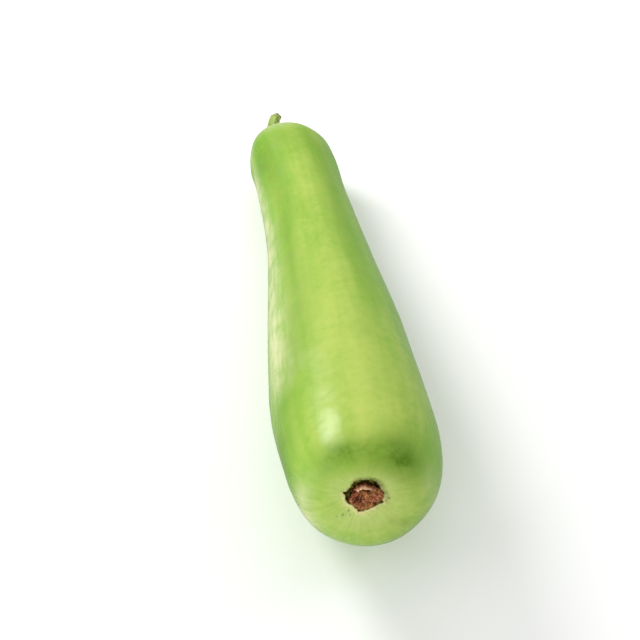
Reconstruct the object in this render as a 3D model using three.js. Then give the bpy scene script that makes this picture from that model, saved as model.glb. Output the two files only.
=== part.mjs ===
// A bottle gourd (lauki), picked with a short stalk and lying on its side.
// Millimetres, +Z up. +Y runs from the blossom end to the stalk end.
//
// Every piece is first drawn round a straight +Y axis, with y = 0 at the blossom pole and
// y = fruit.length at the stalk pole. bend() then curves that axis, and layDown() tilts the
// gourd so that its belly and its neck both rest on z = 0.

import * as THREE from 'three';

const { clamp, degToRad, smoothstep } = THREE.MathUtils;

// Fruit: a round body whose belly tapers to a neck. Shares are of the length.
const fruit = { length: 330, bellyRadius: 41.7, neckRadius: 26.4, bellyUntil: 0.217, neckFrom: 0.777 };
const mesh = { rings: 58, sides: 64 };

// Each end is a superellipse over a share of the length. Its pole sits off the axis, by across and up.
const blossomEnd = { share: 0.229, power: 3.1, across: -5.4, up: 23.2 };
const stalkEnd = { share: 0.094, power: 1.69, across: -4.6, up: 0 };

// Bends of the axis: the neck swings to -X, and the blossom end turns up.
const neckBend = { from: 0.3, across: -11.8 };
const blossomBend = { until: 0.5, across: -1.2, up: 13.3 };

// The two stations that the fruit lies on, how deep its own weight presses them, and how far
// the flat spots' edges are softened.
const rest = { belly: 0.395, neck: 0.915, sink: 1.5, edge: 0.7 };

// Broad unevenness of the skin. Angles go round the axis: 0 is +X, 90 is up.
// reach is the half-width along the fruit in mm, and spread the half-width round it in degrees.
const swells = [
  { at: 0.04, angle: 300, reach: 26, spread: 34, height: 1.6 },
  { at: 0.06, angle: 228, reach: 26, spread: 34, height: -1.5 },
  { at: 0.12, angle: 200, reach: 30, spread: 30, height: -4.5 },
  { at: 0.3, angle: 175, reach: 40, spread: 40, height: -1.1 },
  { at: 0.3, angle: 5, reach: 40, spread: 40, height: -1.5 },
  { at: 0.5, angle: 5, reach: 40, spread: 40, height: 0.8 },
  { at: 0.7, angle: 5, reach: 36, spread: 40, height: 1.9 },
  { at: 0.88, angle: 175, reach: 26, spread: 40, height: -1.8 },
  { at: 0.88, angle: 5, reach: 26, spread: 40, height: 2.4 },
];
const flutes = { count: 5, height: 0.28, phase: 0.7 };

// Blossom pit: the ragged hollow that the flower leaves round the pole.
const pit = { radius: 9.1, rim: 9.8, depth: 3.2 };
const fray = [
  { count: 2, amount: 0.05, phase: 0.4 },
  { count: 3, amount: 0.06, phase: 2.3 },
  { count: 7, amount: 0.035, phase: 1.1 },
];

// Stalk end: a dimple with creases that run from the stalk over the shoulder.
const dimple = { depth: 4.5, inner: 6, outer: 18 };
const creases = [
  { angle: 96, depth: 3.4, length: 24, width: 2.4 },
  { angle: 158, depth: 2.6, length: 19, width: 2.2 },
  { angle: 214, depth: 3.6, length: 34, width: 2.2 },
  { angle: 292, depth: 3, length: 21, width: 2.4 },
  { angle: 20, depth: 2.8, length: 20, width: 2.3 },
];
const socket = { radius: 5.7, rim: 6.6, depth: 3.2 };

// Stalk: five-ribbed, thickest where it leaves the fruit, and cut across. It curves to +X.
const stalk = { length: 26, rootRadius: 5.2, tipRadius: 3.9, ribs: 5, ribHeight: 0.075, lean: 7.5 };
const stalkMesh = { rings: 10, sides: 40 };

// Flower remnant: a crumpled plug in the pit, pushed a little to one side.
const plug = { rootRadius: 6.2, topRadius: 7.7, height: 0.8, across: 0.7, down: 0.6, sides: 40 };
const gap = 0.3;

const indices = (count) => Array.from({ length: count }, (_, i) => i);
const waves = (list, angle) => list.reduce((sum, w) => sum + w.amount * Math.sin(w.count * angle + w.phase), 0);

// Rise of a superellipse end from 0 at its pole to 1 where the body begins.
function rounding(share, end) {
  return (1 - (1 - clamp(share / end.share, 0, 1)) ** end.power) ** (1 / end.power);
}

// Radius of the smooth fruit at a share u of its length.
function skinRadius(u) {
  const toNeck = smoothstep(u, fruit.bellyUntil, fruit.neckFrom);
  const body = fruit.bellyRadius + (fruit.neckRadius - fruit.bellyRadius) * toNeck;
  return body * rounding(u, blossomEnd) * rounding(1 - u, stalkEnd);
}

// One ring of a half section: its radius, its y, and how far its middle sits off the axis.
function ring(r, y, end, offAxis) {
  return { r, y, across: end.across * offAxis, up: end.up * offAxis };
}

// The pit and the socket are each whole: all their rings share the offset of their rim.
const pitOffset = 1 - pit.rim / fruit.bellyRadius;
const socketOffset = 1 - socket.rim / fruit.neckRadius;
const socketTop = fruit.length - dimple.depth - 0.8;
const socketFloor = socketTop - socket.depth;

// Rings of the fruit from the pit's floor to the socket's floor. The skin's stations crowd
// towards both poles, so that its rings stay about evenly spaced.
function fruitSection() {
  const pitWall = [[0, 1], [0.5, 1], [0.88, 0.9], [0.97, 0.25]];
  const section = pitWall.map(([r, depth]) => ring(pit.radius * r, pit.depth * depth, blossomEnd, pitOffset));
  section.push(ring(pit.rim, 0, blossomEnd, pitOffset));
  for (const i of indices(mesh.rings)) {
    const t = (i + 0.5) / mesh.rings;
    const near = t ** blossomEnd.power;
    const far = (1 - t) ** stalkEnd.power;
    const u = near / (near + far);
    const r = skinRadius(u);
    const dip = dimple.depth * (1 - smoothstep(r, dimple.inner, dimple.outer));
    if (u < 0.5 && r > pit.rim + 1.5) {
      section.push(ring(r, u * fruit.length, blossomEnd, 1 - rounding(u, blossomEnd)));
    }
    if (u >= 0.5 && r > socket.rim) {
      section.push(ring(r, u * fruit.length - dip, stalkEnd, 1 - rounding(1 - u, stalkEnd)));
    }
  }
  section.push(ring(socket.radius, socketTop, stalkEnd, socketOffset));
  section.push(ring(socket.radius, socketFloor, stalkEnd, socketOffset));
  section.push(ring(0, socketFloor, stalkEnd, socketOffset));
  return section;
}

// Swells, dents and faint flutes, added along the radius.
function unevenSkin(p) {
  const r = Math.hypot(p.x, p.z);
  const angle = Math.atan2(p.z, p.x);
  let lift = flutes.height * Math.cos(flutes.count * angle + flutes.phase);
  for (const swell of swells) {
    const turn = angle - degToRad(swell.angle);
    const aside = Math.atan2(Math.sin(turn), Math.cos(turn)) / degToRad(swell.spread);
    const away = (p.y - swell.at * fruit.length) / swell.reach;
    lift += swell.height * Math.exp(-aside * aside - away * away);
  }
  const onBody = smoothstep(r, pit.rim * 1.4, fruit.neckRadius);
  const scale = r > 0 ? 1 + lift * onBody / r : 1;
  p.x *= scale;
  p.z *= scale;
}

// Stretches the pit's rim in and out.
function frayPit(p) {
  const r = Math.hypot(p.x, p.z);
  const stretch = 1 + waves(fray, Math.atan2(p.z, p.x)) * (1 - smoothstep(r, pit.radius, pit.radius * 2));
  p.x *= stretch;
  p.z *= stretch;
}

// Presses the creases into the stalk end, towards a point deep inside the neck.
function pressCreases(p) {
  const inward = new THREE.Vector3(0, fruit.length - fruit.neckRadius, 0).sub(p).normalize();
  const angle = Math.atan2(p.z, p.x);
  const r = Math.hypot(p.x, p.z);
  const fromStalk = Math.max(fruit.length - p.y - dimple.depth, 0) + r;
  for (const crease of creases) {
    const turn = angle - degToRad(crease.angle);
    const aside = Math.atan2(Math.sin(turn), Math.cos(turn)) * r / crease.width;
    const run = 1 - smoothstep(fromStalk, dimple.inner, dimple.inner + crease.length);
    const start = smoothstep(r, socket.radius, socket.radius + 2);
    p.addScaledVector(inward, crease.depth * run * start * Math.exp(-aside * aside));
  }
}

// Point on the bent axis at a share u of the length, with y = 0 halfway.
function axisPoint(u) {
  const neck = Math.max((u - neckBend.from) / (1 - neckBend.from), 0) ** 3;
  const blossom = Math.max(1 - u / blossomBend.until, 0) ** 2;
  const across = neckBend.across * neck + blossomBend.across * blossom;
  return new THREE.Vector3(across, (u - 0.5) * fruit.length, blossomBend.up * blossom);
}

// Carries a point from the straight axis to the bent one. Past the poles the axis goes straight on.
function bend(p) {
  const u = clamp(p.y / fruit.length, 0, 1);
  const past = p.y - u * fruit.length;
  const step = 1e-4;
  const forward = axisPoint(u + step).sub(axisPoint(u - step)).normalize();
  const side = new THREE.Vector3(1, 0, 0).addScaledVector(forward, -forward.x).normalize();
  const up = side.clone().cross(forward);
  const { x, z } = p;
  p.copy(axisPoint(u)).addScaledVector(forward, past).addScaledVector(side, x).addScaledVector(up, z);
}

// Height of the fruit's underside at a share of its length, before it is laid down.
function underside(u) {
  return axisPoint(u).z + blossomEnd.up * (1 - rounding(u, blossomEnd)) - skinRadius(u);
}

// Tilts the bent gourd until its belly and its neck are level, and sets it down on z = 0.
const restSpan = (rest.neck - rest.belly) * fruit.length;
const restTilt = Math.atan((underside(rest.neck) - underside(rest.belly)) / restSpan);
function layDown(p) {
  const pivot = (rest.belly - 0.5) * fruit.length;
  const y = p.y - pivot;
  const z = p.z - underside(rest.belly);
  p.y = pivot + y * Math.cos(restTilt) + z * Math.sin(restTilt);
  p.z = z * Math.cos(restTilt) - y * Math.sin(restTilt) - rest.sink;
}

// Presses what would reach below the ground flat, with a soft edge.
function pressFlat(p) {
  if (p.z < -rest.edge) p.z = 0;
  else if (p.z < rest.edge) p.z = (p.z + rest.edge) ** 2 / (4 * rest.edge);
}

// Revolves a half section. shape() works on a vertex of the straight piece, which is then moved
// off the axis with its ring, bent, and laid down.
function grown(section, sides, shape, finish = () => {}) {
  const geometry = new THREE.LatheGeometry(section.map(({ r, y }) => new THREE.Vector2(r, y)), sides);
  const position = geometry.attributes.position;
  const p = new THREE.Vector3();
  for (const i of indices(position.count)) {
    const { across, up } = section[i % section.length];
    p.fromBufferAttribute(position, i);
    shape(p);
    p.x += across;
    p.z += up;
    bend(p);
    layDown(p);
    finish(p);
    position.setXYZ(i, p.x, p.y, p.z);
  }
  geometry.computeVertexNormals();
  return geometry;
}

function fruitGeometry() {
  const shape = (p) => {
    unevenSkin(p);
    if (p.y < fruit.length / 2) frayPit(p);
    else pressCreases(p);
  };
  return grown(fruitSection(), mesh.sides, shape, pressFlat);
}

// The stalk stands in the fruit's socket. Its ribs start above the socket's rim.
function stalkGeometry() {
  const root = socketFloor + gap;
  const { rootRadius, tipRadius } = stalk;
  const outline = [[0, root], [rootRadius - 0.4, root], [rootRadius, root + 0.4]];
  for (const i of indices(stalkMesh.rings)) {
    const t = (i + 1) / stalkMesh.rings;
    outline.push([tipRadius + (rootRadius - tipRadius) * (1 - t) ** 3, socketTop + stalk.length * t]);
  }
  outline.push([tipRadius - 0.8, socketTop + stalk.length + 0.3], [0, socketTop + stalk.length - 0.5]);
  const shape = (p) => {
    const t = clamp((p.y - socketTop) / stalk.length, 0, 1);
    const rib = 1 + stalk.ribHeight * smoothstep(t, 0, 0.25) * Math.cos(stalk.ribs * Math.atan2(p.z, p.x));
    p.x = p.x * rib + stalk.lean * t * t;
    p.z *= rib;
  };
  return grown(outline.map(([r, y]) => ring(r, y, stalkEnd, socketOffset)), stalkMesh.sides, shape);
}

// The dry flower's plug: its root is smooth, and its face is crumpled and stands a little proud.
function scarGeometry() {
  const root = pit.depth - gap;
  const { rootRadius, topRadius, height } = plug;
  const face = [[0.7, -0.5], [0.47, 0.1], [0.23, -0.4], [0, 0.1]];
  const outline = [[0, root], [rootRadius, root], [topRadius - 0.7, 1.6], [topRadius, 0], [topRadius - 0.5, -height]];
  for (const [r, y] of face) outline.push([topRadius * r, y]);
  const shape = (p) => {
    const angle = Math.atan2(p.z, p.x);
    const r = Math.hypot(p.x, p.z);
    const stretch = 1 + waves(fray, angle);
    if (p.y < 1) p.y += (0.35 * Math.sin(3 * angle + r) + 0.25 * Math.sin(7 * angle - 2 * r)) * smoothstep(r, 0, 3);
    p.x = p.x * stretch + plug.across;
    p.z = p.z * stretch - plug.down;
  };
  return grown(outline.map(([r, y]) => ring(r, y, blossomEnd, pitOffset)).reverse(), plug.sides, shape);
}

const skinFinish = new THREE.MeshStandardMaterial({ color: '#a4c85c', roughness: 0.38, metalness: 0 });
const stalkFinish = new THREE.MeshStandardMaterial({ color: '#9cb04c', roughness: 0.6, metalness: 0 });
const scarFinish = new THREE.MeshStandardMaterial({ color: '#7d4a30', roughness: 0.85, metalness: 0 });

function piece(name, geometry, material) {
  const made = new THREE.Mesh(geometry, material);
  made.name = name;
  return made;
}

const gourd = new THREE.Group();
gourd.add(
  piece('fruit', fruitGeometry(), skinFinish),
  piece('stalk', stalkGeometry(), stalkFinish),
  piece('blossom_scar', scarGeometry(), scarFinish),
);

// The origin is under the middle of the gourd's box, on the surface that it lies on.
const middle = new THREE.Box3().setFromObject(gourd).getCenter(new THREE.Vector3());
gourd.position.set(-middle.x, -middle.y, 0);

export default gourd;
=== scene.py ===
# A bottle gourd lying on a pale studio floor.
# Lengths are in millimetres until a mesh is made: metres() turns them into the frame's metres.
import bpy
import numpy as np
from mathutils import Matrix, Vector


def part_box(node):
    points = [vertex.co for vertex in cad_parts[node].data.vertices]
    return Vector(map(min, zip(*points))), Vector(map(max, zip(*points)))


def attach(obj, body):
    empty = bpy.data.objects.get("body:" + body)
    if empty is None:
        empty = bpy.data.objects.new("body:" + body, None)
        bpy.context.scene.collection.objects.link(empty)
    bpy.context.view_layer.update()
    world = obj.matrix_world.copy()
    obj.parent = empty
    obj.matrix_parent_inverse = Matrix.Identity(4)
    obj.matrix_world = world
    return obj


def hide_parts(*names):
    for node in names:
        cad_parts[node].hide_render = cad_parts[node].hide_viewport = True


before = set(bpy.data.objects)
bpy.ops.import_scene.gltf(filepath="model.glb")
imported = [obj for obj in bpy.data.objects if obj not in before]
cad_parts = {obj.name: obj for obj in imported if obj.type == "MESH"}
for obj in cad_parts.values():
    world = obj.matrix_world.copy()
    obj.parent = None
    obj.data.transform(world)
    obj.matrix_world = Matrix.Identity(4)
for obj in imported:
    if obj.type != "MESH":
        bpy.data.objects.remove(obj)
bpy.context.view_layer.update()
print("frame loaded:", ", ".join(sorted(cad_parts)))

# The form that all pieces share. +Y runs from the blossom end to the stalk end, shares are of the length.
# An end is a superellipse over a share of the length, and its pole sits off the axis by across and up.
# A swell is (share, angle, reach along in mm, spread round in degrees, height). Angle 0 is +X, 90 is up.
gourd = {
    "length": 330.0,
    "bellyRadius": 41.7,
    "neckRadius": 26.4,
    "bellyUntil": 0.217,
    "neckFrom": 0.777,
    "blossomEnd": {"share": 0.229, "power": 3.1, "across": -5.4, "up": 23.2},
    "stalkEnd": {"share": 0.094, "power": 1.69, "across": -4.6, "up": 0.0},
    "neckBend": {"from": 0.3, "across": -11.8},
    "blossomBend": {"until": 0.5, "across": -1.2, "up": 13.3},
    "rest": {"belly": 0.395, "neck": 0.915, "sink": 1.5, "edge": 0.7},
    "flutes": {"count": 5, "height": 0.28, "phase": 0.7},
    "swells": [
        (0.04, 300, 26, 34, 1.6), (0.06, 228, 26, 34, -1.5), (0.12, 200, 30, 30, -4.5),
        (0.3, 175, 40, 40, -1.1), (0.3, 5, 40, 40, -1.5), (0.5, 5, 40, 40, 0.8),
        (0.7, 5, 36, 40, 1.9), (0.88, 175, 26, 40, -1.8), (0.88, 5, 26, 40, 2.4),
    ],
    "pitRim": 9.8,
    "pitDepth": 3.2,
    "dimple": {"depth": 4.5, "inner": 6.0, "outer": 18.0, "lip": 0.8},
    "socketRim": 6.6,
    "socketRadius": 5.7,
    "socketDepth": 3.2,
    "socketMiddle": 0.5,  # share of the socket's radius that its last ring has
}
socketTop = gourd["length"] - gourd["dimple"]["depth"] - gourd["dimple"]["lip"]
socketFloor = socketTop - gourd["socketDepth"]


# 0 below low, 1 above high, and 3t^2 - 2t^3 between them.
def ease(x, low, high):
    t = np.clip((x - low) / (high - low), 0, 1)
    return t * t * (3 - 2 * t)


# A bell, e to the power of minus x squared.
def bell(x):
    return np.exp(-np.square(x))


# Signed turn, within half a turn, from a direction in degrees to an angle in radians: the arctangent of the
# difference's sine over its cosine.
def turnFrom(angle, degrees):
    turn = angle - np.radians(degrees)
    return np.arctan2(np.sin(turn), np.cos(turn))


# The angles of a ring of so many sides, as one row.
def ringAngles(sides):
    return np.linspace(0, 2 * np.pi, sides, endpoint=False)[None]


# A radius for every angle: eased steps between (degrees, radius) corners, closed round the turn.
def raggedOutline(corners, angle):
    degrees, radii = np.array(sorted(corners), float).T
    degrees = np.concatenate([degrees[-1:] - 360, degrees, degrees[:1] + 360])
    radii = np.concatenate([radii[-1:], radii, radii[:1]])
    at = np.degrees(angle) % 360
    i = np.clip(np.searchsorted(degrees, at, side="right") - 1, 0, len(degrees) - 2)
    t = ease(at, degrees[i], degrees[i + 1])
    return radii[i] * (1 - t) + radii[i + 1] * t


# Fine teeth of an outline: the sum of height x sin(count x angle + phase), from (count, height, phase).
def teeth(waves, angle):
    return sum(height * np.sin(count * angle + phase) for count, height, phase in waves)


# Smooth noise about 0: sines along random directions, summed over the root of their number. Each wave's
# length is the wavelength over a random number within finer.
def softNoise(points, wavelength, seed, waves=14, finer=(0.7, 1.4)):
    rng = np.random.default_rng(seed)
    way = rng.normal(size=(waves, 3))
    way *= 2 * np.pi / wavelength / np.linalg.norm(way, axis=1, keepdims=True)
    way *= rng.uniform(*finer, (waves, 1))
    turn = rng.uniform(0, 2 * np.pi, waves)
    return sum(np.sin(points @ w + s) for w, s in zip(way, turn)) / np.sqrt(waves)


# Relief of several noises: the sum of height x soft noise, from (wavelength, height, seed).
def layeredNoise(points, layers):
    return sum(height * softNoise(points, wavelength, seed) for wavelength, height, seed in layers)


# Creased noise from 0 to 1: one minus sharp x the size of a soft noise, so its zero lines stand up as
# ridges.
def creasedNoise(points, wavelength, seed, sharp=1.6):
    return np.clip(1 - np.abs(softNoise(points, wavelength, seed)) * sharp, 0, 1)


# Rise of an end from 0 at its pole to 1 where the body begins: (1 - (1 - share/end)^p)^(1/p).
def endRise(share, end):
    left = 1 - np.clip(share / end["share"], 0, 1)
    return (1 - left ** end["power"]) ** (1 / end["power"])


# Radius of the smooth skin: belly easing to neck, times the rise of both ends.
def skinRadius(u):
    toNeck = ease(u, gourd["bellyUntil"], gourd["neckFrom"])
    body = gourd["bellyRadius"] + (gourd["neckRadius"] - gourd["bellyRadius"]) * toNeck
    return body * endRise(u, gourd["blossomEnd"]) * endRise(1 - u, gourd["stalkEnd"])


# The bent axis: across x the cube of the way along the neck, plus across x the square of the way towards
# the blossom end, which also lifts it by up x that square.
def axisPoint(u):
    neckBend, blossomBend = gourd["neckBend"], gourd["blossomBend"]
    neck = np.maximum((u - neckBend["from"]) / (1 - neckBend["from"]), 0) ** 3
    blossom = np.maximum(1 - u / blossomBend["until"], 0) ** 2
    across = neckBend["across"] * neck + blossomBend["across"] * blossom
    return np.stack([across, (u - 0.5) * gourd["length"], blossomBend["up"] * blossom], -1)


# Height of the underside before the gourd is laid down: axis plus end offset minus radius.
def underside(u):
    lift = gourd["blossomEnd"]["up"] * (1 - endRise(u, gourd["blossomEnd"]))
    return axisPoint(np.asarray(u))[2] + lift - skinRadius(u)


# Straight x, y, z to the bent gourd: axis(y) + x side + z up, with side and up square to the axis.
# Then it is turned about X until belly and neck are level, and lowered by the sink.
def bendAndLay(points):
    u = np.clip(points[..., 1] / gourd["length"], 0, 1)
    past = points[..., 1] - u * gourd["length"]
    step = 1e-4  # share of the length over which the axis's direction is taken
    forward = axisPoint(u + step) - axisPoint(u - step)
    forward /= np.linalg.norm(forward, axis=-1, keepdims=True)
    side = np.array([1.0, 0, 0]) - forward * forward[..., :1]
    side /= np.linalg.norm(side, axis=-1, keepdims=True)
    up = np.cross(side, forward)
    bent = axisPoint(u) + forward * past[..., None] + side * points[..., :1] + up * points[..., 2:]
    rest = gourd["rest"]
    span = (rest["neck"] - rest["belly"]) * gourd["length"]
    tilt = np.arctan((underside(rest["neck"]) - underside(rest["belly"])) / span)
    pivot = (rest["belly"] - 0.5) * gourd["length"]
    y, z = bent[..., 1] - pivot, bent[..., 2] - underside(rest["belly"])
    laidY = pivot + y * np.cos(tilt) + z * np.sin(tilt)
    return np.stack([bent[..., 0], laidY, z * np.cos(tilt) - y * np.sin(tilt) - rest["sink"]], -1)


# Heights near the floor are pressed flat: 0 below -edge, (z + edge)^2 / (4 edge) up to edge.
def pressFlat(points):
    edge = gourd["rest"]["edge"]
    z = points[..., 2]
    pressed = np.where(z < -edge, 0, np.where(z < edge, (z + edge) ** 2 / (4 * edge), z))
    return np.concatenate([points[..., :2], pressed[..., None]], -1)


# Off-axis offset of a ring: the end's across and up, times how far the end still has to rise.
def offset(end, share):
    return np.array([gourd[end]["across"], 0, gourd[end]["up"]]) * np.asarray(share)[..., None]


pitOffset = 1 - gourd["pitRim"] / gourd["bellyRadius"]
socketOffset = 1 - gourd["socketRim"] / gourd["neckRadius"]


# Outward normals of a grid of points: its step from ring to ring, crossed with its step round a ring, and
# made one long.
def gridNormals(points):
    along = np.gradient(points, axis=0)
    around = (np.roll(points, -1, axis=1) - np.roll(points, 1, axis=1)) / 2
    normal = np.cross(along, around)
    return normal / np.maximum(np.linalg.norm(normal, axis=-1, keepdims=True), 1e-9)


# Millimetres of the drawing to the frame's metres, moved so that the fruit fills its CAD node's box.
def metres(points):
    return (points + drawingShift) / 1000


# A closed skin from a grid of rings x sides and a pole at the middle of each end ring, with its faces
# outwards. Attributes are one number or vector for each grid point, and the poles take their ring's first.
def closedMesh(name, grid, attributes, material):
    rings, sides = grid.shape[:2]
    poles = np.array((grid[0].mean(0), grid[-1].mean(0)))
    verts = np.concatenate([grid.reshape(-1, 3), poles])
    i, j = np.meshgrid(np.arange(rings - 1), np.arange(sides), indexing="ij")
    k = (j + 1) % sides
    quads = np.stack([i * sides + j, (i + 1) * sides + j, (i + 1) * sides + k, i * sides + k], -1)
    j = np.arange(sides)
    k = (j + 1) % sides
    first = np.stack([np.full(sides, rings * sides), j, k], -1)
    last = (rings - 1) * sides + np.stack([np.full(sides, sides + 1), k, j], -1)
    loops = np.concatenate([quads.ravel(), first.ravel(), last.ravel()])
    counts = np.concatenate([np.full((rings - 1) * sides, 4), np.full(2 * sides, 3)])
    mesh = bpy.data.meshes.new(name)
    mesh.vertices.add(len(verts))
    mesh.vertices.foreach_set("co", verts.ravel())
    mesh.loops.add(len(loops))
    mesh.loops.foreach_set("vertex_index", loops)
    mesh.polygons.add(len(counts))
    mesh.polygons.foreach_set("loop_start", np.concatenate([[0], np.cumsum(counts)[:-1]]))
    mesh.polygons.foreach_set("loop_total", counts)
    mesh.polygons.foreach_set("use_smooth", np.ones(len(counts), bool))
    mesh.update(calc_edges=True)
    for key, values in attributes.items():
        values = np.broadcast_to(values, grid.shape[:2] + np.shape(values)[2:])
        flat = values.reshape(rings * sides, -1)
        flat = np.concatenate([flat, flat[:1], flat[-1:]])
        kind, field = ("FLOAT", "value") if flat.shape[1] == 1 else ("FLOAT_VECTOR", "vector")
        mesh.attributes.new(key, kind, "POINT").data.foreach_set(field, flat.ravel())
    mesh.materials.append(material)
    piece = bpy.data.objects.new(name, mesh)
    bpy.context.scene.collection.objects.link(piece)
    return piece


# An sRGB colour of 0 to 255 as the linear colour that a socket takes: c / 12.92 up to 0.04045, and
# ((c + 0.055) / 1.055)^2.4 above it.
def tint(red, green, blue):
    c = np.array([red, green, blue]) / 255
    linear = np.where(c <= 0.04045, c / 12.92, ((c + 0.055) / 1.055) ** 2.4)
    return (*linear.tolist(), 1.0)


# A small workbench round one material's node tree.
class Finish:
    def __init__(self, name, **surface):
        self.material = bpy.data.materials.new(name)
        self.material.use_nodes = True
        self.tree = self.material.node_tree
        self.shader = self.tree.nodes["Principled BSDF"]
        for key, value in surface.items():
            self.shader.inputs[key.replace("_", " ")].default_value = value
        self.objectCoords = self.node("ShaderNodeTexCoord").outputs["Object"]

    # a new node with these settings, and these inputs fed
    def node(self, kind, inputs=(), **settings):
        made = self.tree.nodes.new(kind)
        for key, value in settings.items():
            setattr(made, key, value)
        for key, value in dict(inputs).items():
            self.feed(made.inputs[key], value)
        return made

    # another socket's output is linked, and a plain value is set
    def feed(self, socket, value):
        if isinstance(value, bpy.types.NodeSocket):
            self.tree.links.new(value, socket)
        else:
            socket.default_value = value

    # what the mesh stores at each point under this name
    def attribute(self, name, field="Fac"):
        return self.node("ShaderNodeAttribute", attribute_name=name).outputs[field]

    # the operation on a and b
    def math(self, operation, a, b):
        return self.node("ShaderNodeMath", {0: a, 1: b}, operation=operation).outputs[0]

    # value carried from one span to another, eased at both ends and kept inside it
    def span(self, value, low, high, toLow=0.0, toHigh=1.0):
        inputs = {"Value": value, "From Min": low, "From Max": high, "To Min": toLow, "To Max": toHigh}
        return self.node("ShaderNodeMapRange", inputs, interpolation_type="SMOOTHSTEP").outputs[0]

    # noise from 0 to 1, on the object's own coordinates unless others are given
    def noise(self, scale, detail, rough=0.5, coords=None):
        inputs = {"Vector": coords or self.objectCoords, "Scale": scale, "Detail": detail, "Roughness": rough}
        return self.node("ShaderNodeTexNoise", inputs).outputs["Fac"]

    # the start, if there is one, plus the sum of weight x (value - 1/2)
    def stir(self, parts, start=None):
        total = start
        for value, weight in parts:
            term = self.math("MULTIPLY", self.math("SUBTRACT", value, 0.5), weight)
            total = term if total is None else self.math("ADD", total, term)
        return total

    # an attribute's mask times the span of a noise, which breaks it up
    def broken(self, mask, value, span):
        return self.math("MULTIPLY", self.attribute(mask), self.span(value, *span))

    # a + factor x (b - a)
    def mix(self, factor, a, b):
        made = self.node("ShaderNodeMix", data_type="RGBA")
        for socket, value in ((made.inputs[0], factor), (made.inputs[6], a), (made.inputs[7], b)):
            self.feed(socket, value)
        return made.outputs[2]

    # round dots, one in each random cell that passes the draw: the strength inside the radius, 0 outside
    def dots(self, scale, radius, keep, strength, core=0.45):
        cells = self.node("ShaderNodeTexVoronoi", {"Vector": self.objectCoords, "Scale": scale})
        inside = self.span(cells.outputs["Distance"], radius, radius * core)
        draw = self.node("ShaderNodeSeparateColor", {0: cells.outputs["Color"]}).outputs[0]
        dot = self.math("MULTIPLY", inside, self.math("LESS_THAN", draw, keep))
        return self.math("MULTIPLY", dot, strength)

    # a normal tilted by the slope of height x distance, on top of the one under it
    def bump(self, height, distance, strength, under=None):
        inputs = {"Height": height, "Distance": distance, "Strength": strength}
        if under is not None:
            inputs["Normal"] = under
        return self.node("ShaderNodeBump", inputs).outputs[0]

    # the shader's own sockets take the finished colour, roughness and normal
    def paint(self, colour, roughness, normal):
        self.feed(self.shader.inputs["Base Color"], colour)
        self.feed(self.shader.inputs["Roughness"], roughness)
        self.feed(self.shader.inputs["Normal"], normal)
        return self.material


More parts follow.
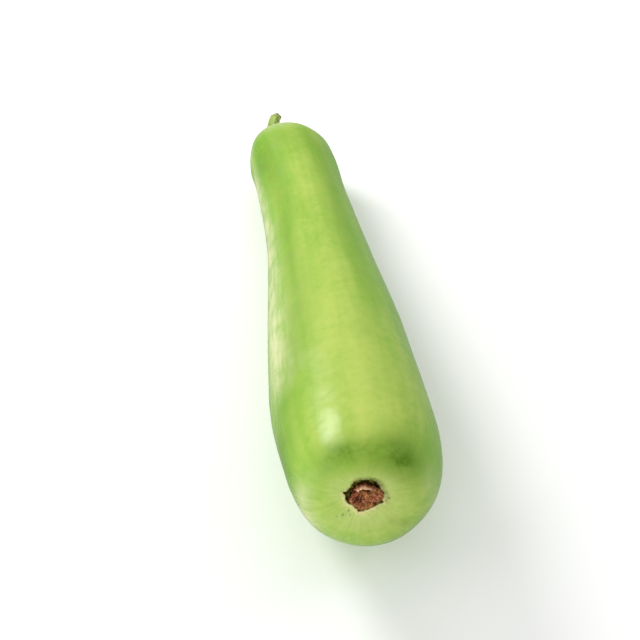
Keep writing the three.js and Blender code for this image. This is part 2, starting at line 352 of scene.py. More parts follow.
# Creases are (angle, depth, length, width), and slits the finer folds inside and between them.
# Places on the skin are given by arc, the millimetres over the skin from the blossom pole, and angle.
# A stripe is a list of (arc, angle, spread in degrees, strength), a patch (arc, angle, reach, spread in mm,
# strength), and a prick (arc, angle, size). A fade is from one arc to another. A span carries
# (low, high) to 0 and 1, or to the last two numbers. A noise is (scale, detail, roughness), and a layer of
# relief is (wavelength, height, seed). An outline is (degrees, radius), and teeth are (count, height, phase).
fruit = {
    "skinRings": 330,
    "sides": 256,
    "pitRings": 26,
    "pitRingFrom": 0.04,
    "pitMiddle": 0.1,  # share of the rim's radius where t is 0
    "pitWall": {"from": 0.74, "power": 1.5},
    "skinGap": 0.25,  # between the pit's rim and the first ring of the skin
    "evenUntil": 1.4,  # times the rim: swells and flutes fade in from here
    "outlineUntil": 1.9,  # times the rim: the ragged outline has faded out here
    "creases": [
        (96, 3.4, 24, 2.4), (158, 2.6, 19, 2.2), (214, 3.6, 34, 2.2), (292, 3, 21, 2.4), (20, 2.8, 20, 2.3),
    ],
    "slits": [
        (97, 1.2, 15, 0.7), (160, 1.0, 12, 0.6), (211, 1.3, 26, 0.7), (290, 1.1, 13, 0.7), (22, 1.0, 12, 0.6),
        (125, 0.8, 8, 0.6), (188, 0.7, 7, 0.6), (250, 0.9, 9, 0.7), (330, 0.8, 8, 0.6), (60, 0.9, 9, 0.7),
    ],
    "slitCurl": 0.12,
    "foldStart": 2.0,  # mm outside the socket until a fold has its full depth
    "slitShade": 1.6,  # how much darker a slit is painted than a crease of its depth
    "darkestFold": 4.2,
    "pitOutline": [
        (0, 9.8), (18, 8.9), (43, 9.9), (67, 10.1), (88, 9.8), (110, 10.2), (122, 9.4), (133, 8.3),
        (150, 8.5), (162, 9.7), (173, 8.3), (190, 8.3), (205, 8.0), (224, 7.2), (245, 8.1), (258, 9.8),
        (274, 9.2), (294, 8.8), (318, 9.2), (330, 10.7), (342, 9.8),
    ],
    "rimTeeth": [(23, 0.16, 0), (41, 0.12, 1)],
    "teethReach": 1.5,
    "drawnIn": 0.1,  # keeps the lumps inside the CAD box
    "lumps": [(42.0, 0.12, 11), (17.0, 0.04, 12), (7.0, 0.015, 13)],
    "smoothAtRim": 2.0,
    "smoothAtSocket": 3.0,
    "wrinkles": {"layer": (2.6, 0.08, 21), "at": 1.6, "reach": 1.7},
    "lip": {"height": 0.3, "at": 0.7, "reach": 0.8, "layer": (3.5, 0.5, 22)},
    "pitRoughness": [(2.2, 0.25, 23), (1.1, 0.2, 24)],
    "pitEdge": (0.3, -0.9),
    # Painted shade: darker green down the left and right flanks, where less light falls.
    "paintedShadeStripes": [
        [
            (34, 172, 14, 0), (52, 166, 18, 0.75), (74, 158, 20, 0.58), (92, 145, 20, 0.38),
            (105, 136, 16, 0.38), (120, 129, 14, 0.4), (150, 125, 13, 0.4), (184, 125, 13, 0.4),
            (226, 130, 14, 0.4), (253, 126, 15, 0.38), (290, 132, 20, 0.48), (309, 143, 21, 0.58),
            (325, 140, 18, 0.4), (345, 135, 14, 0),
        ],
        [
            (45, 70, 8, 0), (80, 70, 9, 0.03), (120, 68, 9, 0.12), (175, 63, 12, 0.28), (222, 63, 14, 0.34),
            (273, 58, 15, 0.36), (306, 58, 15, 0.32), (325, 60, 13, 0.1), (342, 60, 12, 0),
        ],
    ],
    # Painted light: the skin is painted lighter along the top by this stripe.
    "paintedLightStripe": [
        (0, 100, 60, 0), (40, 94, 54, 0.9), (60, 88, 54, 1), (100, 91, 47, 0.97), (150, 96, 40, 0.9),
        (217, 99, 42, 0.74), (250, 94, 45, 0.66), (300, 86, 48, 0.55), (330, 80, 48, 0.52),
        (360, 76, 60, 0.4),
    ],
    # Painted sheen: a pale reflection painted along the left flank, streaked like a waxy bloom.
    "paintedSheenStripe": [
        (88, 148, 14, 0), (98, 147, 17, 0.5), (108, 147, 19, 0.9), (126, 152, 19, 1), (165, 155, 20, 1),
        (221, 162, 19, 1), (263, 166, 17, 0.95), (285, 175, 17, 1), (303, 177, 14, 0.9), (318, 173, 12, 0.6),
        (330, 160, 14, 0.35), (345, 145, 16, 0),
    ],
    # Painted sheen at the end face's left and right edges, in a ring round the pit and on the neck.
    "paintedSheenPatches": [
        (36, 192, 9, 20, 0.9), (36, 2, 8, 14, 0.4), (14, 0, 7, 1000, 0.25), (339, 100, 8, 13, 0.6),
    ],
    # Painted shade across the top of the end face, on the neck and at the lower right, with a few small dark
    # patches.
    "shadeAndMottlePatches": [
        (34, 112, 10, 13, 0.85), (37, 61, 10, 12, 0.42), (28, 48, 10, 12, 0.56), (26, 58, 8, 9, 0.35),
        (34, 84, 9, 13, 0.32), (318, 95, 18, 22, 0.25), (40, 299, 7, 14, 0.62), (30, 305, 8, 10, 0.15),
        (24, 319, 3, 2.5, 0.5), (19, 311, 2, 2.5, 0.3), (120, 75, 5, 4, 0.2),
    ],
    "pricks": [(14.9, 221, 0.45), (12.6, 226, 0.4), (16.5, 214, 0.3), (13.4, 236, 0.3), (11.9, 349, 0.7)],
    # Painted light: the end face is painted lighter, more so towards +X.
    "paintedLitEndFace": {"level": 0.8, "right": 0.15, "fade": (15, 45)},
    "strands": {"strength": 0.45, "rise": (10, 13), "fade": (24, 40)},
    "streaks": {"rises": [(0.4, 10, 16), (0.6, 20, 45)], "stalkFade": (0.02, 0.08)},
    "rimTurn": 62,  # the rim's palest cork is opposite this angle, and its darkest edge on it
    "rimCork": {"reach": 1.6, "level": 0.7, "swing": 0.5},
    # Painted shade: a dark olive band just outside the pit's rim, darkest on the rimTurn side.
    "rimShade": {"reach": 1.5, "level": 0.45, "swing": -0.55},
    # (noise, stretch of the skin's own coordinates or None for the object's)
    "noises": {
        "blotch": ((24.0, 2.0, 0.5), None),
        "mottle": ((75.0, 2.0, 0.5), None),
        "grainy": ((240.0, 4.0, 0.65), None),
        "streak": ((2.0, 3.0, 0.5), (2.4, 2.4, 2.2)),
        "strand": ((2.0, 3.0, 0.6), (7.5, 7.5, 9.0)),
        "band": ((1.5, 3.0, 0.6), (1.3, 1.3, 26.0)),
    },
    "unevenness": {"blotch": 0.5, "mottle": 0.35, "band": 0.3, "grainy": 0.9},
    "corkNoise": (420.0, 3.0, 0.6),
    "pitNoise": (500.0, 3.0, 0.5),
    "poreNoise": (700.0, 3.0, 0.6),
    "greenSpan": (-0.3, 1.5),
    "paintedSheenSpan": (0.75, 1.25, 0.35, 1.0),
    "paintedShadeSpan": (0.75, 1.25, 0.45, 1.0),
    "creaseShadeSpan": (0.12, 0.95, 0.0, 0.92),
    "rimShadeSpan": (0.35, 0.6, 0.5, 1.0),
    "corkSpan": (0.3, 0.62, 0.35, 1.0),
    "pitColourSpan": (0.35, 0.7),
    "pitSpan": (0.05, 0.6),
    "roughnessSpan": (0.3, 0.7, 0.26, 0.31),
    "pitRoughest": 0.9,
    "flecks": {"scale": 230.0, "radius": 0.085, "keep": 0.3, "strength": 0.5},
    "specks": {"scale": 105.0, "radius": 0.04, "keep": 0.28, "strength": 0.7},
    "poreBump": (0.00006, 0.5),  # metres deep, and strength
    "mottleBump": (0.0006, 0.3),
    "specular": 0.2,
    "rimColour": tint(220, 210, 146),
    "pitColours": (tint(62, 52, 16), tint(136, 136, 46)),
    # A painted-lit green for the top and end face, and a painted-shaded green for the sides and underside.
    "paintedLitGreen": tint(182, 200, 96),
    "paintedShadedGreen": tint(116, 169, 40),
    # the painted shade's darker green
    "paintedShadeGreen": tint(84, 126, 16),
    # the green of the painted shade in creases
    "creaseShadeGreen": tint(40, 74, 18),
    # the painted sheen's pale colour
    "paintedSheenColour": tint(209, 214, 158),
    "fleckColour": tint(214, 224, 150),
    # dark olive for the specks and for the painted shade at the pit's rim
    "speckAndShadeColour": tint(80, 98, 36),
}


# Half section of the fruit: a hollow pit with a rounded lip, the skin, the dimple, and the stalk's socket.
# It gives radius, y, arc and the offset of each ring. The skin's stations are t^p / (t^p + (1-t)^q). The
# pit is depth x (1 - ease^p) deep, and the dimple depth x (1 - ease).
def fruitSection():
    rim, wall, middle = gourd["pitRim"], fruit["pitWall"], fruit["pitMiddle"]
    t = np.linspace(fruit["pitRingFrom"], 1, fruit["pitRings"])
    pitDepths = gourd["pitDepth"] * (1 - ease(t, wall["from"], 1.0) ** wall["power"])
    pit = np.stack([rim * (middle + (1 - middle) * t), pitDepths], -1)
    t = (np.arange(fruit["skinRings"]) + 0.5) / fruit["skinRings"]
    near, far = t ** gourd["blossomEnd"]["power"], (1 - t) ** gourd["stalkEnd"]["power"]
    u = near / (near + far)
    r = skinRadius(u)
    dimple = gourd["dimple"]
    front, back = (u < 0.5) & (r > rim + fruit["skinGap"]), (u >= 0.5) & (r > gourd["socketRim"])
    dip = dimple["depth"] * (1 - ease(r, dimple["inner"], dimple["outer"]))
    y = u * gourd["length"]
    frontOff = offset("blossomEnd", 1 - endRise(u, gourd["blossomEnd"]))
    backOff = offset("stalkEnd", 1 - endRise(1 - u, gourd["stalkEnd"]))
    radius, inner = gourd["socketRadius"], gourd["socketRadius"] * gourd["socketMiddle"]
    socket = np.array([(radius, socketTop), (radius, socketFloor), (inner, socketFloor)])
    profile = np.concatenate([pit, np.stack([r, y], -1)[front], np.stack([r, y - dip], -1)[back], socket])
    offsets = np.concatenate([
        np.broadcast_to(offset("blossomEnd", pitOffset), (len(pit), 3)), frontOff[front], backOff[back],
        np.broadcast_to(offset("stalkEnd", socketOffset), (len(socket), 3)),
    ])
    steps = np.hypot(*np.diff(profile, axis=0).T)
    arc = np.concatenate([[0], np.cumsum(steps)])
    return profile[:, 0], profile[:, 1], arc - arc[len(pit) - 1] + rim, offsets


# Swells, dents and faint flutes along the radius: r plus height x cos(count x a + phase) plus the sum of
# height x bell round x bell along, all of it fading in with the radius.
def unevenSkin(r, angle, y):
    flutes = gourd["flutes"]
    lift = flutes["height"] * np.cos(flutes["count"] * angle + flutes["phase"])
    for share, degrees, reach, spread, height in gourd["swells"]:
        aside = turnFrom(angle, degrees) / np.radians(spread)
        lift = lift + height * bell(aside) * bell((y - share * gourd["length"]) / reach)
    return r + lift * ease(r, gourd["pitRim"] * fruit["evenUntil"], gourd["neckRadius"])


# How deep a list of folds is at each point: the sum of depth x fade along it x bell across it, fading in
# outside the socket. A fold's line turns aside by curl x the square of the way along.
def foldDepth(folds, r, angle, y, curl=0.0):
    dimple = gourd["dimple"]
    fromStalk = np.maximum(gourd["length"] - y - dimple["depth"], 0) + r
    start = ease(r, gourd["socketRadius"], gourd["socketRadius"] + fruit["foldStart"])
    total = 0.0
    for degrees, depth, length, width in folds:
        way = (fromStalk - dimple["inner"]) / length
        aside = turnFrom(angle, degrees) - curl * np.clip(way, 0, 1) ** 2
        total = total + depth * (1 - ease(way, 0, 1)) * start * bell(aside * r / width)
    return total


# Height added to the skin along its normals: lumps that fade at rim and socket, wrinkles and a lip that are
# bells of the distance from the pit's rim, and roughness in the pit.
def fruitRelief(laid, r, fromRim, atBlossom, inPit):
    bySocket = ease(r, gourd["socketRim"], gourd["socketRim"] + fruit["smoothAtSocket"])
    onSkin = np.where(atBlossom, ease(fromRim, 0, fruit["smoothAtRim"]), bySocket)
    lumps = (layeredNoise(laid, fruit["lumps"]) - fruit["drawnIn"]) * onSkin
    wrinkles, lip = fruit["wrinkles"], fruit["lip"]
    nearRim = np.where(atBlossom, bell((fromRim - wrinkles["at"]) / wrinkles["reach"]), 0)
    swollen = bell((fromRim - lip["at"]) / lip["reach"]) * (1 + layeredNoise(laid, [lip["layer"]]))
    return (lumps + layeredNoise(laid, [wrinkles["layer"]]) * nearRim
            + lip["height"] * np.where(atBlossom, swollen, 0)
            + inPit * layeredNoise(laid, fruit["pitRoughness"]))


# The fruit as a grid: section x turn, made uneven, creased at the stalk end, frayed at the pit,
# carried onto the bent axis, then given its fine relief along its own normals.
def fruitGrid():
    r, y, arc, offsets = fruitSection()
    angle = ringAngles(fruit["sides"])
    y, arc = y[:, None] + 0 * angle, arc[:, None] + 0 * angle
    r = unevenSkin(r[:, None] + 0 * angle, angle, y)
    atBlossom = y < gourd["length"] / 2
    outline = raggedOutline(fruit["pitOutline"], angle)
    outline = outline + teeth(fruit["rimTeeth"], angle) * (1 - ease(r - outline, 0, fruit["teethReach"]))
    pull = 1 - ease(r, gourd["pitRim"], gourd["pitRim"] * fruit["outlineUntil"])
    r = np.where(atBlossom, r * (1 + (outline / gourd["pitRim"] - 1) * pull), r)
    points = np.stack([r * np.cos(angle), y, r * np.sin(angle)], -1)
    inward = np.array([0, gourd["length"] - gourd["neckRadius"], 0]) - points
    inward /= np.linalg.norm(inward, axis=-1, keepdims=True)
    wide = np.where(atBlossom, 0, foldDepth(fruit["creases"], r, angle, y))
    fine = np.where(atBlossom, 0, foldDepth(fruit["slits"], r, angle, y, fruit["slitCurl"]))
    points += inward * (wide + fine)[..., None]
    laid = bendAndLay(points + offsets[:, None])
    fromRim = r - outline
    inPit = np.where(atBlossom, ease(fromRim, *fruit["pitEdge"]), 0)
    laid = laid + gridNormals(laid) * fruitRelief(laid, r, fromRim, atBlossom, inPit)[..., None]
    return laid, r, angle, y, arc, fromRim, wide + fruit["slitShade"] * fine, inPit


# Strength of a stripe: its stations are joined along the arc, and it is a bell across them.
def stripe(stations, arc, angle):
    at, degrees, spread, strength = np.array(stations, float).T
    middle, width, height = (np.interp(arc, at, column) for column in (degrees, spread, strength))
    return height * bell(turnFrom(angle, middle) / np.radians(width))


# Strength of patches: the sum of a bell along the arc times a bell across it.
def patches(places, arc, angle, r):
    return sum(strength * bell((arc - at) / reach) * bell(turnFrom(angle, degrees) * r / spread)
               for at, degrees, reach, spread, strength in places)


# The weights that the skin's paint reads. Cork fades as e to the minus distance from the rim and the painted
# shade at its edge as a bell of it, and both swing with the cosine of the turn. Noise fades in by arc.
def fruitPaint(r, angle, y, arc, fromRim, folds, inPit):
    share = y / gourd["length"]
    # painted shade, with a few small dark patches
    paintedShadeAndMottle = sum(stripe(stations, arc, angle) for stations in fruit["paintedShadeStripes"])
    paintedShadeAndMottle = paintedShadeAndMottle + patches(fruit["shadeAndMottlePatches"], arc, angle, r)
    # painted sheen
    paintedSheen = stripe(fruit["paintedSheenStripe"], arc, angle) + patches(fruit["paintedSheenPatches"], arc, angle, r)
    pricks = patches([(at, degrees, size, size, 1) for at, degrees, size in fruit["pricks"]], arc, angle, r)
    face, strands, streaks = fruit["paintedLitEndFace"], fruit["strands"], fruit["streaks"]
    # painted light on the end face
    paintedLitEndFace = (face["level"] + face["right"] * np.cos(angle)) * (1 - ease(arc, *face["fade"]))
    streakRise = sum(height * ease(arc, low, high) for height, low, high in streaks["rises"])
    away = -np.cos(turnFrom(angle, fruit["rimTurn"]))
    outside = np.maximum(fromRim, 0)
    cork, shade = fruit["rimCork"], fruit["rimShade"]
    nearRim = np.where(share < 0.5, np.exp(-outside / cork["reach"]), 0)
    atEdge = np.where(share < 0.5, bell(outside / shade["reach"]), 0)
    return {
        "grain": np.stack([np.cos(angle) + 0 * share, np.sin(angle) + 0 * share, share], -1),
        # painted light: lighter along the top and on the end face
        "paintedLightAndTone": np.maximum(stripe(fruit["paintedLightStripe"], arc, angle), paintedLitEndFace),
        "paintedShadeAndMottle": np.clip(paintedShadeAndMottle, 0, 1),
        "paintedSheen": np.clip(paintedSheen, 0, 1),
        "prick": np.clip(pricks, 0, 1),
        "clearOfPoles": streakRise * ease(1 - share, *streaks["stalkFade"]),
        "nearPit": strands["strength"] * ease(arc, *strands["rise"]) * (1 - ease(arc, *strands["fade"])),
        # painted shade in the creases and slits round the stalk, darker the deeper they are
        "paintedCreaseShade": np.clip(folds / fruit["darkestFold"], 0, 1),
        "rimNear": nearRim * (cork["level"] + cork["swing"] * away),
        # painted shade at the pit's rim
        "rimShade": atEdge * (shade["level"] + shade["swing"] * away),
        "pitDeep": inPit,
    }


# Waxy skin: a painted-lit green and a painted-shaded green, mixed by painted light (lighter on the top and
# the end face) and noise. Painted sheen, painted shade, flecks, specks, painted shade in the creases, the
# rim's painted shade and its cork, and the pit are laid over them in turn, each as mix(colour, own colour,
# mask).
def skinFinish():
    f = Finish("gourdSkin", Specular_IOR_Level=fruit["specular"])
    grain = f.attribute("grain", "Vector")
    noise = {}
    for name, (look, stretch) in fruit["noises"].items():
        coords = stretch and f.node("ShaderNodeMapping", {"Vector": grain, "Scale": stretch}).outputs[0]
        noise[name] = f.noise(*look, coords)
    parts = [(noise[name], weight) for name, weight in fruit["unevenness"].items()]
    parts += [(noise["strand"], f.attribute("nearPit")), (noise["streak"], f.attribute("clearOfPoles"))]
    # painted light plus random tone: it mixes the painted-shaded green towards the painted-lit green
    paintedLightAndTone = f.math("ADD", f.attribute("paintedLightAndTone"), f.stir(parts))
    colour = f.mix(f.span(paintedLightAndTone, *fruit["greenSpan"]), fruit["paintedShadedGreen"], fruit["paintedLitGreen"])
    long = f.math("ADD", noise["mottle"], noise["strand"])
    # painted sheen, streaked along the skin by noise
    colour = f.mix(f.broken("paintedSheen", long, fruit["paintedSheenSpan"]), colour, fruit["paintedSheenColour"])
    fine = f.math("ADD", noise["mottle"], noise["grainy"])
    # painted shade, its edges broken into mottles by noise
    colour = f.mix(f.broken("paintedShadeAndMottle", fine, fruit["paintedShadeSpan"]), colour, fruit["paintedShadeGreen"])
    colour = f.mix(f.dots(**fruit["flecks"]), colour, fruit["fleckColour"])
    specks = f.math("MAXIMUM", f.dots(**fruit["specks"]), f.attribute("prick"))
    colour = f.mix(specks, colour, fruit["speckAndShadeColour"])
    # painted shade in the creases round the stalk
    colour = f.mix(f.span(f.attribute("paintedCreaseShade"), *fruit["creaseShadeSpan"]), colour, fruit["creaseShadeGreen"])
    # painted shade just outside the pit's rim
    colour = f.mix(f.broken("rimShade", noise["grainy"], fruit["rimShadeSpan"]), colour, fruit["speckAndShadeColour"])
    cork = f.noise(*fruit["corkNoise"])
    colour = f.mix(f.broken("rimNear", cork, fruit["corkSpan"]), colour, fruit["rimColour"])
    pitColour = f.mix(f.span(f.noise(*fruit["pitNoise"]), *fruit["pitColourSpan"]), *fruit["pitColours"])
    pitDeep = f.attribute("pitDeep")
    colour = f.mix(f.span(pitDeep, *fruit["pitSpan"]), colour, pitColour)
    onSkin = f.span(noise["mottle"], *fruit["roughnessSpan"])
    roughness = f.span(pitDeep, 0.0, 1.0, onSkin, fruit["pitRoughest"])
    normal = f.bump(f.noise(*fruit["poreNoise"]), *fruit["poreBump"])
    normal = f.bump(noise["mottle"], *fruit["mottleBump"], normal)
    return f.paint(colour, roughness, normal)


print("working out the fruit")
laid, *onSkin = fruitGrid()
cadLow, cadHigh = (np.array(corner) * 1000 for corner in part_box("fruit"))
drawn = np.stack([laid.reshape(-1, 3).min(0), laid.reshape(-1, 3).max(0)])
drawingShift = ((cadLow + cadHigh) / 2 - drawn.mean(0)) * (1, 1, 0)
skin = closedMesh("gourd_fruit", metres(pressFlat(laid)), fruitPaint(*onSkin), skinFinish())
print("fruit:", len(skin.data.polygons), "faces")


# Ribs run along the stalk and widths are radii. The cut end is a worn rim round a sunken pith: its
# section is (in or out from the tip's edge, above or below the end). The foot stands clear of its socket.
stalk = {
    "length": 25.9,
    "rootRadius": 5.2,
    "tipRadius": 3.9,
    "lean": 7.5,
    "footGap": 0.3,
    "footBevel": 0.4,
    "footMiddle": 0.4,  # share of the root radius
    "ribs": 5,
    "ribHeight": 0.075,
    "ribRise": 0.25,  # share of the stalk over which the ribs grow
    "ribShape": {"round": 0.55, "sharp": 0.45, "power": 0.8},
    "rings": 110,
    "sides": 120,
    "noiseStretch": (4, 0.12, 4),
    "fibres": [(1.3, 0.05, 31), (4.5, 0.06, 32)],
    "collar": {"height": 0.8, "at": 0.6, "reach": 1.4, "level": 0.6, "layer": (3, 0.4, 33)},
    "cutSection": [
        (-0.25, 0.28), (-0.7, 0.25), (-1.1, -0.05), (-1.7, -0.3), (-2.3, -0.35), (-2.7, -1.1), (-3.1, -1.5),
    ],
    "cutFrom": 0.3,
    "worn": {"layer": (1.6, 0.12, 34), "power": 0.3},
    "fibreScale": 0.7,
    "fibreNoise": (9.0, 4.0, 0.6),
    "fibreWeight": 0.9,
    "mottleNoise": (420.0, 4.0, 0.65),
    "ribSpan": (-0.45, 0.75),
    "bruiseSpan": (0.44, 0.62),
    "bruiseAlong": (0.0, 1.0, 0.6, 0.8),
    # painted shade at the stalk's foot, where it sits in its socket
    "footShadeSpan": (0.16, 0.0, 0.0, 0.6),
    "stainMottle": 0.12,
    "stainSpan": (0.985, 1.06, 0, 0.8),
    "faceSpan": (0.2, 0.32),
    "pithSpan": (0.5, 0.62),
    "hollowSpan": (0.8, 0.92),
    "roughnessSpan": (0.3, 0.7, 0.5, 0.68),
    "bump": (0.0003, 0.6),
    "specular": 0.4,
    "ribGreen": tint(182, 202, 108),
    "valleyGreen": tint(150, 174, 76),
    "bruise": tint(92, 100, 48),
    "cutRim": tint(104, 96, 66),
    "cutPith": tint(196, 186, 126),
    # painted shade in the sunken middle of the cut end
    "hollowShade": tint(52, 40, 22),
}


# The stalk as a grid: radius tip + (root - tip)(1 - t)^3, ribs that are cosine plus 1 - 2|sin|^p, a collar
# that is a bell round the root, lean x t^2, then the cut face.
def stalkGrid():
    floor = socketFloor + stalk["footGap"]
    root, tip, length, bevel = stalk["rootRadius"], stalk["tipRadius"], stalk["length"], stalk["footBevel"]
    t = np.linspace(0, 1, stalk["rings"])
    body = np.stack([tip + (root - tip) * (1 - t) ** 3, socketTop + length * t], -1)
    cut = np.array([tip, socketTop + length]) + stalk["cutSection"]
    foot = np.array([(root * stalk["footMiddle"], floor), (root - bevel, floor), (root, floor + bevel)])
    profile = np.concatenate([foot, body, cut])
    isCut = np.concatenate([np.zeros(len(foot) + len(body)), np.linspace(stalk["cutFrom"], 1, len(cut))])
    isCut = isCut[:, None]
    angle = ringAngles(stalk["sides"])
    r, y = profile[:, :1] + 0 * angle, profile[:, 1:] + 0 * angle
    t = np.clip((y - socketTop) / length, 0, 1)
    shape = stalk["ribShape"]
    crest = 1 - 2 * np.abs(np.sin(stalk["ribs"] * angle / 2)) ** shape["power"]
    section = shape["round"] * np.cos(stalk["ribs"] * angle) + shape["sharp"] * crest
    rib = stalk["ribHeight"] * ease(t, 0, stalk["ribRise"]) * section
    turned = np.stack([np.cos(angle) + 0 * y, y, np.sin(angle) + 0 * y], -1) * stalk["noiseStretch"]
    collar, worn = stalk["collar"], stalk["worn"]
    uneven = collar["level"] + layeredNoise(turned, [collar["layer"]])
    swollen = collar["height"] * bell((y - socketTop - collar["at"]) / collar["reach"]) * uneven
    wear = layeredNoise(turned * (1, 0, 1), [worn["layer"]]) * isCut ** worn["power"]
    r = r * (1 + rib) + (layeredNoise(turned, stalk["fibres"]) + swollen) * (1 - isCut)
    x = r * np.cos(angle) + stalk["lean"] * t * t
    points = np.stack([x, y + wear, r * np.sin(angle)], -1)
    return bendAndLay(points + offset("stalkEnd", socketOffset)), {
        "crest": crest + 0 * y,
        "along": t,
        "cut": isCut + 0 * y,
        "fibreCoords": np.stack([np.cos(angle) + 0 * y, np.sin(angle) + 0 * y, t * stalk["fibreScale"]], -1),
    }


# Fibrous stalk: pale ribs over olive valleys by crest and fibres, painted shade at its foot towards the
# fruit, a brown worn rim round a pale pith with painted shade in its sunken middle, each laid on as
# mix(colour, own colour, mask).
def stalkFinish():
    f = Finish("stalkGreen", Specular_IOR_Level=stalk["specular"])
    along, cut = f.attribute("along"), f.attribute("cut")
    fibres = f.noise(*stalk["fibreNoise"], f.attribute("fibreCoords", "Vector"))
    mottle = f.noise(*stalk["mottleNoise"])
    crest = f.stir([(fibres, stalk["fibreWeight"])], f.attribute("crest"))
    colour = f.mix(f.span(crest, *stalk["ribSpan"]), stalk["valleyGreen"], stalk["ribGreen"])
    bruised = f.math("MULTIPLY", f.span(mottle, *stalk["bruiseSpan"]), f.span(along, *stalk["bruiseAlong"]))
    colour = f.mix(bruised, colour, stalk["bruise"])
    # painted shade at the foot, where the stalk goes into its socket
    colour = f.mix(f.span(along, *stalk["footShadeSpan"]), colour, fruit["creaseShadeGreen"])
    stain = f.math("ADD", along, f.math("MULTIPLY", mottle, stalk["stainMottle"]))
    colour = f.mix(f.span(stain, *stalk["stainSpan"]), colour, stalk["cutRim"])
    face = f.mix(f.span(cut, *stalk["pithSpan"]), stalk["cutRim"], stalk["cutPith"])
    # painted shade in the sunken middle of the cut end
    face = f.mix(f.span(cut, *stalk["hollowSpan"]), face, stalk["hollowShade"])
    colour = f.mix(f.span(cut, *stalk["faceSpan"]), colour, face)
    return f.paint(colour, f.span(mottle, *stalk["roughnessSpan"]), f.bump(fibres, *stalk["bump"]))


print("working out the stalk")
laid, stalkPaint = stalkGrid()
stem = closedMesh("gourd_stalk", metres(laid), stalkPaint, stalkFinish())
print("stalk:", len(stem.data.polygons), "faces")


# The dry flower's plug. x runs across and z up the end face, from the pit's middle. A fold is
# (x, z, half length, half width, turn in degrees, height): a bent ridge, or a hollow if height is below 0.
scar = {
    "depth": 2.9,
    "rings": 84,
    "faceShare": (3, 4),  # three rings in four are on the face, and the rest on the wall
    "faceFrom": 0.02,
    "sides": 176,
    "outline": [
        (0, 9.0), (18, 8.1), (36, 7.1), (58, 6.1), (80, 6.6), (100, 6.3), (117, 5.9), (148, 5.4), (177, 5.0),
        (200, 6.8), (221, 6.7), (235, 7.2), (249, 8.5), (274, 8.6), (297, 8.1), (318, 8.3), (336, 9.0),
    ],
    "teeth": [(19, 0.2, 1), (43, 0.14, 0)],
    "folds": [
        (-2.9, 4.9, 3.4, 1.0, 24, 2.0), (1.8, 5.4, 3.0, 0.9, -24, 1.8), (5.4, 2.6, 2.2, 0.7, -50, 0.7),
        (-0.8, 3.5, 4.2, 0.85, 4, -2.2), (2.6, 2.6, 1.6, 0.6, -30, -0.8), (-4.2, -0.4, 3.4, 0.5, 48, 0.8),
        (-2.8, -1.6, 3.0, 0.45, 50, -0.7), (0.4, -1.4, 3.6, 0.5, 80, 0.5), (4.6, -2.8, 3.0, 0.5, 42, 0.7),
        (3.0, -3.6, 2.6, 0.45, 40, -0.7), (-2.6, -5.4, 2.8, 0.6, -24, 0.6), (1.4, -5.6, 2.6, 0.5, 12, -0.5),
        (6.4, -0.4, 2.0, 0.5, 75, 0.6),
    ],
    "foldBend": 0.06,
    "warp": {"amount": 0.5, "wavelength": 4, "seeds": (44, 45)},
    "crumple": [(5.0, 0.8, 41), (2.4, 0.75, 42), (1.2, 0.25, 43)],
    "crumpleMiddle": 0.45,
    "flatEdge": {"from": 0.9, "share": 0.3},
    "sunk": 0.1,
    "upperEdge": {"drop": 1.1, "from": 0.86, "angle": 95, "spread": 55},
    "wall": {"taper": 0.06, "stretch": 6, "layer": (2.0, 0.12, 46), "shade": 1.6},
    "levelNoise": (620.0, 4.0, 0.7),
    "levelWeight": 0.9,
    "rustNoise": (260.0, 2.0, 0.5),
    "grainNoise": (1500.0, 4.0, 0.7),
    "darkSpan": (-0.95, 0.0),
    "rustSpan": (0.45, 0.65, 0.0, 0.7),
    "paleSpan": (0.15, 1.0),
    "bump": (0.0004, 0.8),
    "roughness": 0.8,
    "specular": 0.25,
    "paper": tint(162, 98, 62),
    # dark brown in the folds and down the wall, partly painted shade
    "dark": tint(66, 28, 14),
    # pale on the crests, partly painted light
    "pale": tint(232, 184, 146),
    "rust": tint(182, 132, 74),
}


# Height of the plug's face, warped sideways by soft noise: creased noise plus folds, each a bell along and a
# bell across its own bent line, flatter towards the edge and with a drop at the upper edge.
def crumpledHeight(across, x, z, angle):
    flat, warp = np.stack([x, 0 * x, z], -1), scar["warp"]
    shiftX, shiftZ = (softNoise(flat, warp["wavelength"], seed) for seed in warp["seeds"])
    bent = flat + warp["amount"] * np.stack([shiftX, 0 * x, shiftZ], -1)
    height = sum(high * (creasedNoise(bent, wavelength, seed) - scar["crumpleMiddle"])
                 for wavelength, high, seed in scar["crumple"])
    for foldX, foldZ, length, width, degrees, lift in scar["folds"]:
        c, s = np.cos(np.radians(degrees)), np.sin(np.radians(degrees))
        lengthwise = (bent[..., 0] - foldX) * c + (bent[..., 2] - foldZ) * s
        aside = (bent[..., 2] - foldZ) * c - (bent[..., 0] - foldX) * s + scar["foldBend"] * lengthwise ** 2
        height = height + lift * bell(lengthwise / length) * bell(aside / width)
    flatEdge, upper = scar["flatEdge"], scar["upperEdge"]
    height = height * (1 - flatEdge["share"] * ease(across, flatEdge["from"], 1.0)) - scar["sunk"]
    fall = bell(turnFrom(angle, upper["angle"]) / np.radians(upper["spread"]))
    return height - upper["drop"] * ease(across, upper["from"], 1.0) * fall


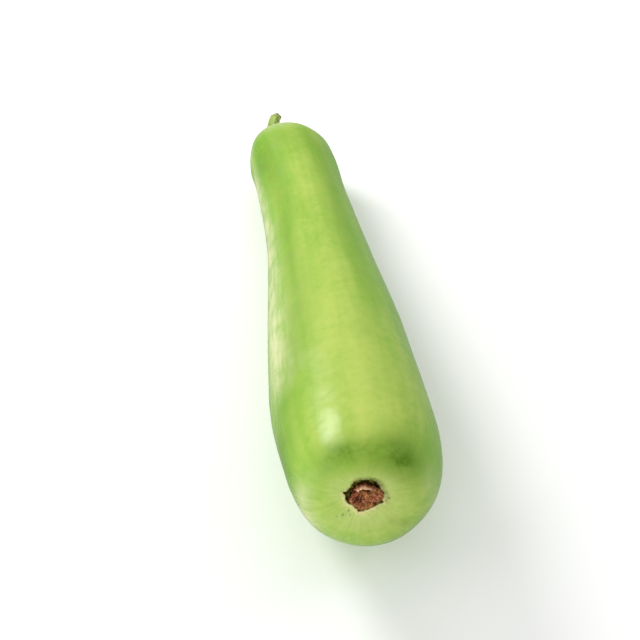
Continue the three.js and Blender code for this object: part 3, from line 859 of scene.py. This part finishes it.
# The plug as a grid: a disc of ragged outline with its crumpled face, on a wall of radius
# edge x (1 - taper x down) plus noise, which goes down into the pit.
def scarGrid():
    angle = ringAngles(scar["sides"])
    edge = raggedOutline(scar["outline"], angle) + teeth(scar["teeth"], angle)
    part, whole = scar["faceShare"]
    faceRings = scar["rings"] * part // whole
    across = np.linspace(scar["faceFrom"], 1, faceRings)[:, None]
    r = across * edge
    height = crumpledHeight(across, r * np.cos(angle), r * np.sin(angle), angle)
    down = np.linspace(0, 1, scar["rings"] - faceRings + 1)[1:, None]
    wall = scar["wall"]
    turned = np.stack([np.cos(angle) + 0 * down, down + 0 * angle, np.sin(angle) + 0 * down], -1)
    wallR = edge * (1 - wall["taper"] * down) + layeredNoise(turned * wall["stretch"], [wall["layer"]])
    wallY = -height[-1:] * (1 - down) + scar["depth"] * down
    rAll = np.concatenate([r, wallR])
    yAll = np.concatenate([-height, wallY])
    # down the wall the level falls by the wall's shade: painted shade going into the pit
    level = np.concatenate([height, height[-1:] * (1 - down) - wall["shade"] * down])
    points = np.stack([rAll * np.cos(angle), yAll, rAll * np.sin(angle)], -1)
    return bendAndLay(points + offset("blossomEnd", pitOffset)), level


# Dry flower: dark in its folds and down its wall, partly painted shade, paper brown on its slopes, pale on
# its crests by height plus noise, partly painted light, and rusty in places.
def scarFinish():
    f = Finish("dryFlower", Specular_IOR_Level=scar["specular"])
    level = f.stir([(f.noise(*scar["levelNoise"]), scar["levelWeight"])], f.attribute("level"))
    colour = f.mix(f.span(level, *scar["darkSpan"]), scar["dark"], scar["paper"])
    colour = f.mix(f.span(f.noise(*scar["rustNoise"]), *scar["rustSpan"]), colour, scar["rust"])
    colour = f.mix(f.span(level, *scar["paleSpan"]), colour, scar["pale"])
    return f.paint(colour, scar["roughness"], f.bump(f.noise(*scar["grainNoise"]), *scar["bump"]))


print("working out the blossom scar")
laid, level = scarGrid()
flower = closedMesh("gourd_blossom_scar", metres(laid), {"level": level}, scarFinish())
print("scar:", len(flower.data.polygons), "faces")

for piece, node, slot in ((skin, "fruit", "fruit_skin"), (stem, "stalk", "stalk_green"),
                          (flower, "blossom_scar", "dry_flower")):
    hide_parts(node)
    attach(piece, "root")

# Lamps are soft ellipses: (name, azimuth, elevation, distance, width, height, roll, watts, seen in the
# gloss). Azimuth 0 is behind the gourd, 90 to its right, and 180 towards the camera.
studio = {
    "cameraAt": (-0.063425, -0.47284, 0.52264),
    "azimuth": -7.269,
    "pitch": 47.272,
    "lens": 67.5,
    "sensorWidth": 36.0,
    "clipStart": 0.02,
    "floorSize": 40.0,
    "floorColour": (0.97, 0.97, 0.965, 1.0),
    "floorRoughness": 0.9,
    "floorSpecular": 0.1,
    "worldColour": (1.0, 1.0, 1.0, 1.0),
    "worldStrength": 0.5,
    "aim": (0.0, -0.04, 0.04),
    "lamps": [
        ("backSoftbox", 6, 34, 1.3, 1.1, 1.1, 0, 3.2, False),
        ("backSheen", -38, 36, 1.3, 0.56, 0.16, -32, 9.6, True),
        ("leftSoftbox", -96, 34, 1.3, 0.9, 0.9, 0, 3.2, True),
        ("rightSoftbox", 78, 34, 1.4, 0.8, 0.8, 0, 4.4, False),
        ("frontFill", -150, 10, 0.9, 0.8, 0.8, 0, 3.5, False),
    ],
}


# A point at azimuth a and elevation e from the aim: aim + distance (sin a cos e, cos a cos e, sin e).
def studioPoint(azimuth, elevation, distance):
    a, e = np.radians([azimuth, elevation])
    way = np.array([np.sin(a) * np.cos(e), np.cos(a) * np.cos(e), np.sin(e)])
    return np.array(studio["aim"]) + distance * way


# The floor is a square about the origin. The gloss doesn't see it, so it whitens no edge of the skin.
def buildFloor():
    half = studio["floorSize"] / 2
    mesh = bpy.data.meshes.new("studio_floor")
    corners = [(-half, -half, 0), (half, -half, 0), (half, half, 0), (-half, half, 0)]
    mesh.from_pydata(corners, [], [(0, 1, 2, 3)])
    floor = bpy.data.objects.new("studio_floor", mesh)
    bpy.context.scene.collection.objects.link(floor)
    f = Finish("studioFloor", Base_Color=studio["floorColour"], Roughness=studio["floorRoughness"],
               Specular_IOR_Level=studio["floorSpecular"])
    mesh.materials.append(f.material)
    floor.visible_glossy = False


# Even light all round, and the lamps, each at its studioPoint and turned towards the aim, then rolled.
def buildLights():
    scene = bpy.context.scene
    world = bpy.data.worlds.new("studioWorld")
    world.use_nodes = True
    background = world.node_tree.nodes["Background"]
    background.inputs["Color"].default_value = studio["worldColour"]
    background.inputs["Strength"].default_value = studio["worldStrength"]
    scene.world = world
    for name, azimuth, elevation, distance, width, height, roll, watts, glossy in studio["lamps"]:
        lamp = bpy.data.lights.new(name, "AREA")
        lamp.shape, lamp.size, lamp.size_y, lamp.energy = "ELLIPSE", width, height, watts
        holder = bpy.data.objects.new(name, lamp)
        holder.location = studioPoint(azimuth, elevation, distance)
        towards = Vector(studio["aim"]) - Vector(studioPoint(azimuth, elevation, distance))
        holder.rotation_euler = towards.to_track_quat("-Z", "Y").to_euler()
        holder.rotation_euler.rotate_axis("Z", np.radians(roll))
        holder.visible_camera, holder.visible_glossy = False, glossy
        scene.collection.objects.link(holder)


# The camera looks down by its pitch and is turned by its azimuth: rotation (90 - pitch, 0, azimuth).
def buildCamera():
    scene = bpy.context.scene
    camera = bpy.data.cameras.new("studioCamera")
    camera.lens, camera.sensor_width = studio["lens"], studio["sensorWidth"]
    camera.clip_start = studio["clipStart"]
    holder = bpy.data.objects.new("studioCamera", camera)
    holder.location = studio["cameraAt"]
    holder.rotation_euler = np.radians([90 - studio["pitch"], 0, studio["azimuth"]])
    scene.collection.objects.link(holder)
    scene.camera = holder
    scene.view_settings.view_transform = "Standard"


buildFloor()
buildLights()
buildCamera()
print("studio ready")
